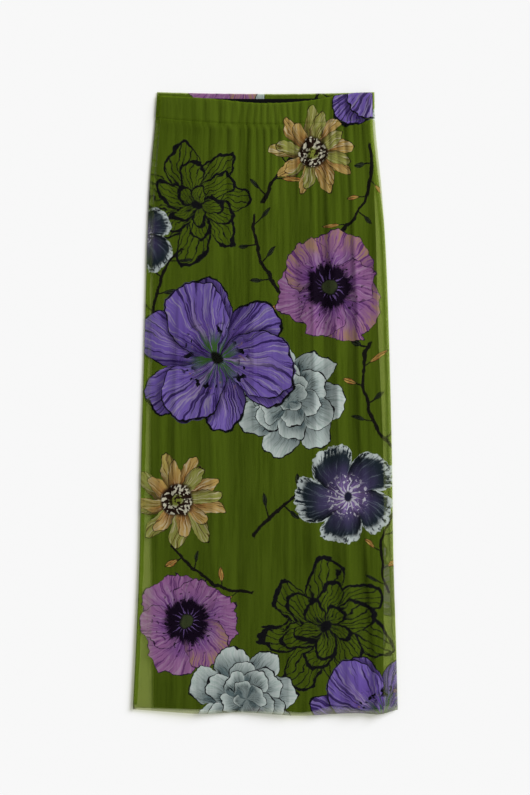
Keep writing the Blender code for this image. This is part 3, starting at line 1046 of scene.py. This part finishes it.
def make_front_panel():
    share, edge = front_shares()
    at_seam = front_across(share, edge, np.full_like(share, CASING_DEPTH_AT_SIDES))
    at_hem = front_across(share, edge, np.full_like(share, LENGTH))
    depth = rows_between(front_seam_depth(at_seam), edge_depth(FRONT_HEM, at_hem), PANEL_ROWS, ROW_CROWDING)
    across = front_across(share, edge, depth)
    lift = smoothstep(0.0, 1.0, edge)
    top = front_seam_depth(across)
    away = smoothstep(0.0, SEAM_HOLD, depth - top)
    rise = SEAM_RISE * (1.0 - smoothstep(0.0, SEAM_RISE_REACH, depth - top))
    rise = rise - SEAM_DIMPLE * bell(depth - top, SEAM_DIMPLE_REACH)
    gathers = PANEL_GATHER_RISE * gather_height(PANEL_GATHERS, across, depth, top) * away
    caught = gather_height(CASING_GATHERS, across, depth * 0.0, 0.0) * (1.0 - away)
    held = CASING_GATHER_RISE * SEAM_PINCH * caught
    loose = gathers + held + fold_height(across, depth) + FRONT_LOFT
    # Troughs round off where they meet the lining
    resting = 0.5 * (loose + np.sqrt(loose**2 + 0.16))
    body = FRONT_Z + casing_step(depth) + rise + resting
    side = SIDE_SEAM_Z + side_lift(depth) + (CASING_SIDE_SEAM_Z - SIDE_SEAM_Z) * (1.0 - away)
    grid = across, depth, side + (body - side) * lift
    flat = flat_across(*grid), depth
    panel = sew_printed("front_panel_mesh", "front_panel", grid, flat, NET_COVER, -1.0)
    stitches = stitch_casing("casing_stitches_front", grid, 0.05, THREAD_THICKNESS)


def casing_path(top, seam, inner, outer, low, inside_reach):
    """Rows of a casing's skin: up inside from the seam, round the top edge, and down outside.

    Returns depth and height rows, and for each row how freely its gathers stand."""
    radius = (outer - inner) / 2.0
    fold = top + radius
    rows = []
    for k in range(CASING_ROWS + 1):
        rows.append((fold + (seam - fold) * inside_reach * (1.0 - k / CASING_ROWS), inner, 0.0))
    for k in range(1, FOLD_ROWS):
        angle = math.pi * k / FOLD_ROWS
        swell = 0.5 - 0.5 * math.cos(angle)
        rows.append((fold - radius * math.sin(angle), inner + 2.0 * radius * swell, 0.6 * swell))
    for k in range(CASING_ROWS + 1):
        share = 1.0 - (1.0 - k / CASING_ROWS) ** 1.5
        caught = math.exp(-(((1.0 - share) * 16.0) ** 2))
        free = min(1.0, 0.6 + 2.0 * share) * (1.0 - (1.0 - SEAM_PINCH) * caught)
        rows.append((fold + (seam - fold) * share, outer + (low - outer) * caught, free))
    depth, height, free = zip(*rows)
    return np.array(depth), np.array(height), np.array(free)[:, None]


def make_front_casing():
    share, edge = front_shares()
    at_top = front_across(share, edge, np.zeros_like(share))
    lift = smoothstep(0.0, 1.0, edge)
    leaned = at_top + casing_lean(at_top, 1.0)
    gathers = gather_height(CASING_GATHERS, leaned, np.zeros_like(at_top), 0.0) * lift
    top = front_top_depth(at_top) - FRONT_SCALLOP * gathers
    seam = front_seam_depth(at_top)
    inner = CASING_SIDE_INNER_Z + (CASING_INNER_Z - CASING_SIDE_INNER_Z) * lift
    outer = CASING_SIDE_OUTER_Z + (CASING_OUTER_Z - CASING_SIDE_OUTER_Z) * lift
    body = FRONT_Z + FRONT_LOFT + CASING_STEP + SEAM_RISE - SEAM_DIMPLE
    low = CASING_SIDE_SEAM_Z + (body - CASING_SIDE_SEAM_Z) * lift
    depth, height, free = casing_path(top, seam, inner, outer, low, 0.92)
    leaned = at_top + casing_lean(at_top, smoothstep(0.0, 1.0, (seam - depth) / (seam - top)))
    gathers = gather_height(CASING_GATHERS, leaned, np.zeros_like(depth), 0.0) * lift
    grid = front_across(share, edge, depth), depth, height + CASING_GATHER_RISE * free * gathers
    down = arc_along(*grid, 0)
    flat = flat_across(*grid), seam - (down[-1:] - down)
    casing = sew_printed("front_casing_mesh", "waist_casing_front", grid, flat, CASING_COVER, -1.0)
    inside = slice(EDGE_COLUMNS, -EDGE_COLUMNS)
    rows = rows_between(top + 2.0, seam - 1.5, ELASTIC_ROWS)[:, inside]
    middle_z = np.full_like(rows, (CASING_INNER_Z + CASING_OUTER_Z) / 2.0 - ELASTIC_WALL / 2.0)
    grid = front_across(share[inside], edge[inside], rows), rows, middle_z
    make_elastic("elastic_front", grid)


def back_shares(side):
    """For each column of a back half, from left to right, its share of the way out to the side."""
    share = np.linspace(0.0, 1.0, BACK_COLUMNS + 1)
    return share[::-1] if side == "left" else share


def back_across(side, share, depth):
    """Where a back half's columns lie, from the centre-back seam out to the side."""
    seam = BACK_SEAM_X + 0.1 * SIGN[side]
    return seam + (SIGN[side] * half_width(side, depth) - seam) * share


def side_curl(side, across, depth):
    """0 in the cloth and 1 at a side seam, where the back turns up."""
    return 1.0 - smoothstep(0.0, 9.0, half_width(side, depth) - np.abs(across))


def make_back_panel(side):
    share = back_shares(side)
    seam = np.full_like(share, CASING_DEPTH_AT_SIDES + 0.3)
    at_hem = back_across(side, share, np.full_like(share, LENGTH))
    depth = rows_between(seam, edge_depth(BACK_HEM, at_hem), BACK_ROWS, ROW_CROWDING)
    across = back_across(side, share, depth)
    gathers = gather_height(BACK_GATHERS, across, depth, CASING_DEPTH_AT_SIDES)
    height = BACK_Z + BACK_GATHER_RISE * gathers + crease_height(BACK_CREASES, across, depth)
    height = height + (BACK_SIDE_CURL + side_lift(depth) - height) * side_curl(side, across, depth)
    grid = across, depth, height
    print_across, print_down = BACK_PRINT[side]
    flat = across + print_across, depth + print_down
    panel = sew_printed(f"back_panel_{side}_mesh", f"back_panel_{side}", grid, flat, NET_COVER, 1.0)
    on_it = [make_side_allowance(side)]
    on_it.append(stitch_casing(f"casing_stitches_back_{side}", grid, 0.08, BACK_THREAD_THICKNESS))
    if side == "right":
        on_it.append(make_back_allowance())


def make_back_casing(side):
    share = back_shares(side)
    at_top = back_across(side, share, np.zeros_like(share))
    gathers = gather_height(BACK_GATHERS, at_top, np.zeros_like(at_top), 0.0)
    top = back_top_depth(at_top) - BACK_SCALLOP * gathers
    seam = np.full_like(top, CASING_DEPTH_AT_SIDES)
    inner = np.full_like(top, BACK_Z)
    outer = np.full_like(top, BACK_CASING_TOP_Z)
    depth, height, free = casing_path(top, seam, inner, outer, inner + 0.45, 1.0)
    height = height + BACK_CASING_GATHER_RISE * free * gathers
    across = back_across(side, share, depth)
    down = arc_along(across, depth, height, 0)
    print_across, print_down = BACK_PRINT[side]
    flat = across + print_across, print_down + CASING_DEPTH_AT_SIDES - down[-1:] + down
    name = f"back_casing_{side}_mesh"
    grid = across, depth, height
    casing = sew_printed(name, f"waist_casing_back_{side}", grid, flat, CASING_COVER, -1.0)
    rows = rows_between(top + 2.0, seam - 1.0, ELASTIC_ROWS)
    grid = back_across(side, share * 0.985, rows), rows, np.full_like(rows, 0.5)
    make_elastic(f"elastic_back_{side}", grid)


def make_lining(node, top_edge, layer_z, side_z, hem_rise):
    """One side of the lining's straight tube, curled at its side edges."""
    share = np.linspace(0.0, 1.0, LINING_COLUMNS + 1)
    hem_left, hem_right = (half_width(f"lining_{side}", np.array(LENGTH)) for side in SIGN)
    top = top_edge(HALF_WAIST * (2.0 * share - 1.0)) + LINING_BELOW_TOP
    hem = edge_depth(LINING_HEM, (hem_left + hem_right) * share - hem_left) - hem_rise
    depth = rows_between(top, hem, LINING_ROWS, 1.2)
    left = -half_width("lining_left", depth)
    right = half_width("lining_right", depth)
    across = left + (right - left) * share
    curl = smoothstep(0.0, 7.0, np.minimum(across - left, right - across))
    ripple = crease_height(LINING_CREASES, across, depth)
    grid = across, depth, side_z + (layer_z - side_z) * curl + casing_step(depth) + ripple * curl
    lining = sew(f"{node}_jersey", grid, LINING, JERSEY_WALL, "lining_jersey", node)
    columns = np.arange(len(share))
    lines = []
    for up in HEM_STITCHES_UP:
        at = np.array([np.interp(depth[-1, k] - up, depth[:, k], np.arange(len(depth))) for k in columns])
        low = np.floor(at).astype(int)
        line = np.stack([
            rows[low, columns] + (rows[low + 1, columns] - rows[low, columns]) * (at - low) for rows in grid
        ], axis=1)
        lines.append(line + (0.0, 0.0, JERSEY_WALL))
    stitches = make_stitches(
        f"{node}_hem_stitches", lines, HEM_STITCH_LENGTH, THREAD_THICKNESS, BLACK_THREAD
    )


def allowance_rows(columns, end):
    return rows_between(np.full(columns, CASING_DEPTH_AT_SIDES + 1.0), np.full(columns, end), STRIP_ROWS)


def make_side_allowance(side):
    """The overlocked seam allowance inside a side seam, which shows through the mesh."""
    share = np.linspace(0.0, 1.0, 5)
    depth = allowance_rows(5, SIDE_ALLOWANCE_END)
    seam = SIGN[side] * (half_width(side, depth) - 0.6)
    if side == "right":
        share = share[::-1]
        seam = seam - side_wrap(depth)
    across = seam - SIGN[side] * SIDE_ALLOWANCE_WIDTH * share * (1.0 + 0.05 * np.sin(depth / 7.0))
    height = SEAM_ALLOWANCE_Z + (0.7 * BACK_SIDE_CURL + side_lift(depth)) * side_curl(side, across, depth)
    grid = across, depth, height
    return sew(f"side_seam_allowance_{side}", grid, ALLOWANCE, MESH_WALL, "printed_mesh")


def make_back_allowance():
    """The seam allowance of the centre-back seam, inside the back."""
    depth = allowance_rows(7, BACK_ALLOWANCE_END)
    across = BACK_SEAM_X + BACK_ALLOWANCE_HALF_WIDTH * np.linspace(-1.0, 1.0, 7) + 0.0 * depth
    grid = across, depth, np.full_like(depth, BACK_ALLOWANCE_Z)
    return sew("centre_back_seam_allowance", grid, ALLOWANCE, MESH_WALL, "printed_mesh")


# Floor, light and camera

PHOTO_HEIGHT = 1188.5
PHOTO_CENTRE = (-0.4, 9.0)
CAMERA_DISTANCE = 3200.0
SENSOR = 36.0
FLOOR_SIZE = 60.0
FLOOR_Z = -0.0004
FLOOR_COLOUR = (0.885, 0.885, 0.885)
STUDIO_LIGHT = 0.34
SEEN_BRIGHTER = 0.61
SOFTBOX_STRENGTH = 4.55
SOFTBOX_SPREAD = 36.0
SOFTBOX_TILT = (-30.0, 55.0)


def make_stage():
    bpy.ops.mesh.primitive_plane_add(size=FLOOR_SIZE, location=(0.0, 0.0, FLOOR_Z))
    floor = bpy.context.object
    floor.name = "floor"
    material, _, shader = new_material("pale floor", 0.9, 0.0)
    feed(shader.inputs["Base Color"], FLOOR_COLOUR)
    floor.data.materials.append(material)


def make_light():
    world = bpy.data.worlds.new("studio")
    bpy.context.scene.world = world
    world.use_nodes = True
    background = world.node_tree.nodes["Background"]
    seen = wired(world.node_tree, "LightPath", output="Is Camera Ray")
    feed(background.inputs["Color"], (1.0, 1.0, 1.0))
    feed(background.inputs["Strength"], seen * SEEN_BRIGHTER + STUDIO_LIGHT)
    light = bpy.data.lights.new("softbox", "SUN")
    light.energy = SOFTBOX_STRENGTH
    light.angle = math.radians(SOFTBOX_SPREAD)
    lamp = put_in_scene("softbox", light)
    lamp.rotation_euler = (*(math.radians(tilt) for tilt in SOFTBOX_TILT), 0.0)


def make_camera():
    camera = bpy.data.cameras.new("camera")
    camera.sensor_width = SENSOR
    camera.lens = SENSOR * CAMERA_DISTANCE / PHOTO_HEIGHT
    camera.clip_end = 20.0
    eye = put_in_scene("camera", camera)
    eye.location = (PHOTO_CENTRE[0] * MM, PHOTO_CENTRE[1] * MM, CAMERA_DISTANCE * MM)
    bpy.context.scene.camera = eye


bpy.ops.object.select_all(action="DESELECT")
bpy.context.scene.view_settings.view_transform = "Standard"
make_camera()
make_stage()
make_light()

LINING = jersey("lining jersey", (0.0018, 0.0018, 0.002), (0.005, 0.005, 0.0055), 0.0003)
ELASTIC = jersey("covered elastic", (0.003, 0.003, 0.0035), (0.012, 0.012, 0.012), 0.0005)
ALLOWANCE = allowance_mesh()
THREAD = jersey("olive thread", (0.070, 0.110, 0.008), (0.100, 0.155, 0.013), 0.0001)
BLACK_THREAD = jersey("black thread", (0.003, 0.003, 0.0035), (0.008, 0.008, 0.009), 0.0001)

make_front_panel()
make_front_casing()
for side in SIGN:
    make_back_panel(side)
    make_back_casing(side)
make_lining("lining_front", front_top_depth, LINING_FRONT_Z, LINING_FRONT_SIDE_Z, 0.0)
make_lining("lining_back", back_top_depth, LINING_BACK_Z, LINING_BACK_Z, LINING_BACK_HEM_RISE)
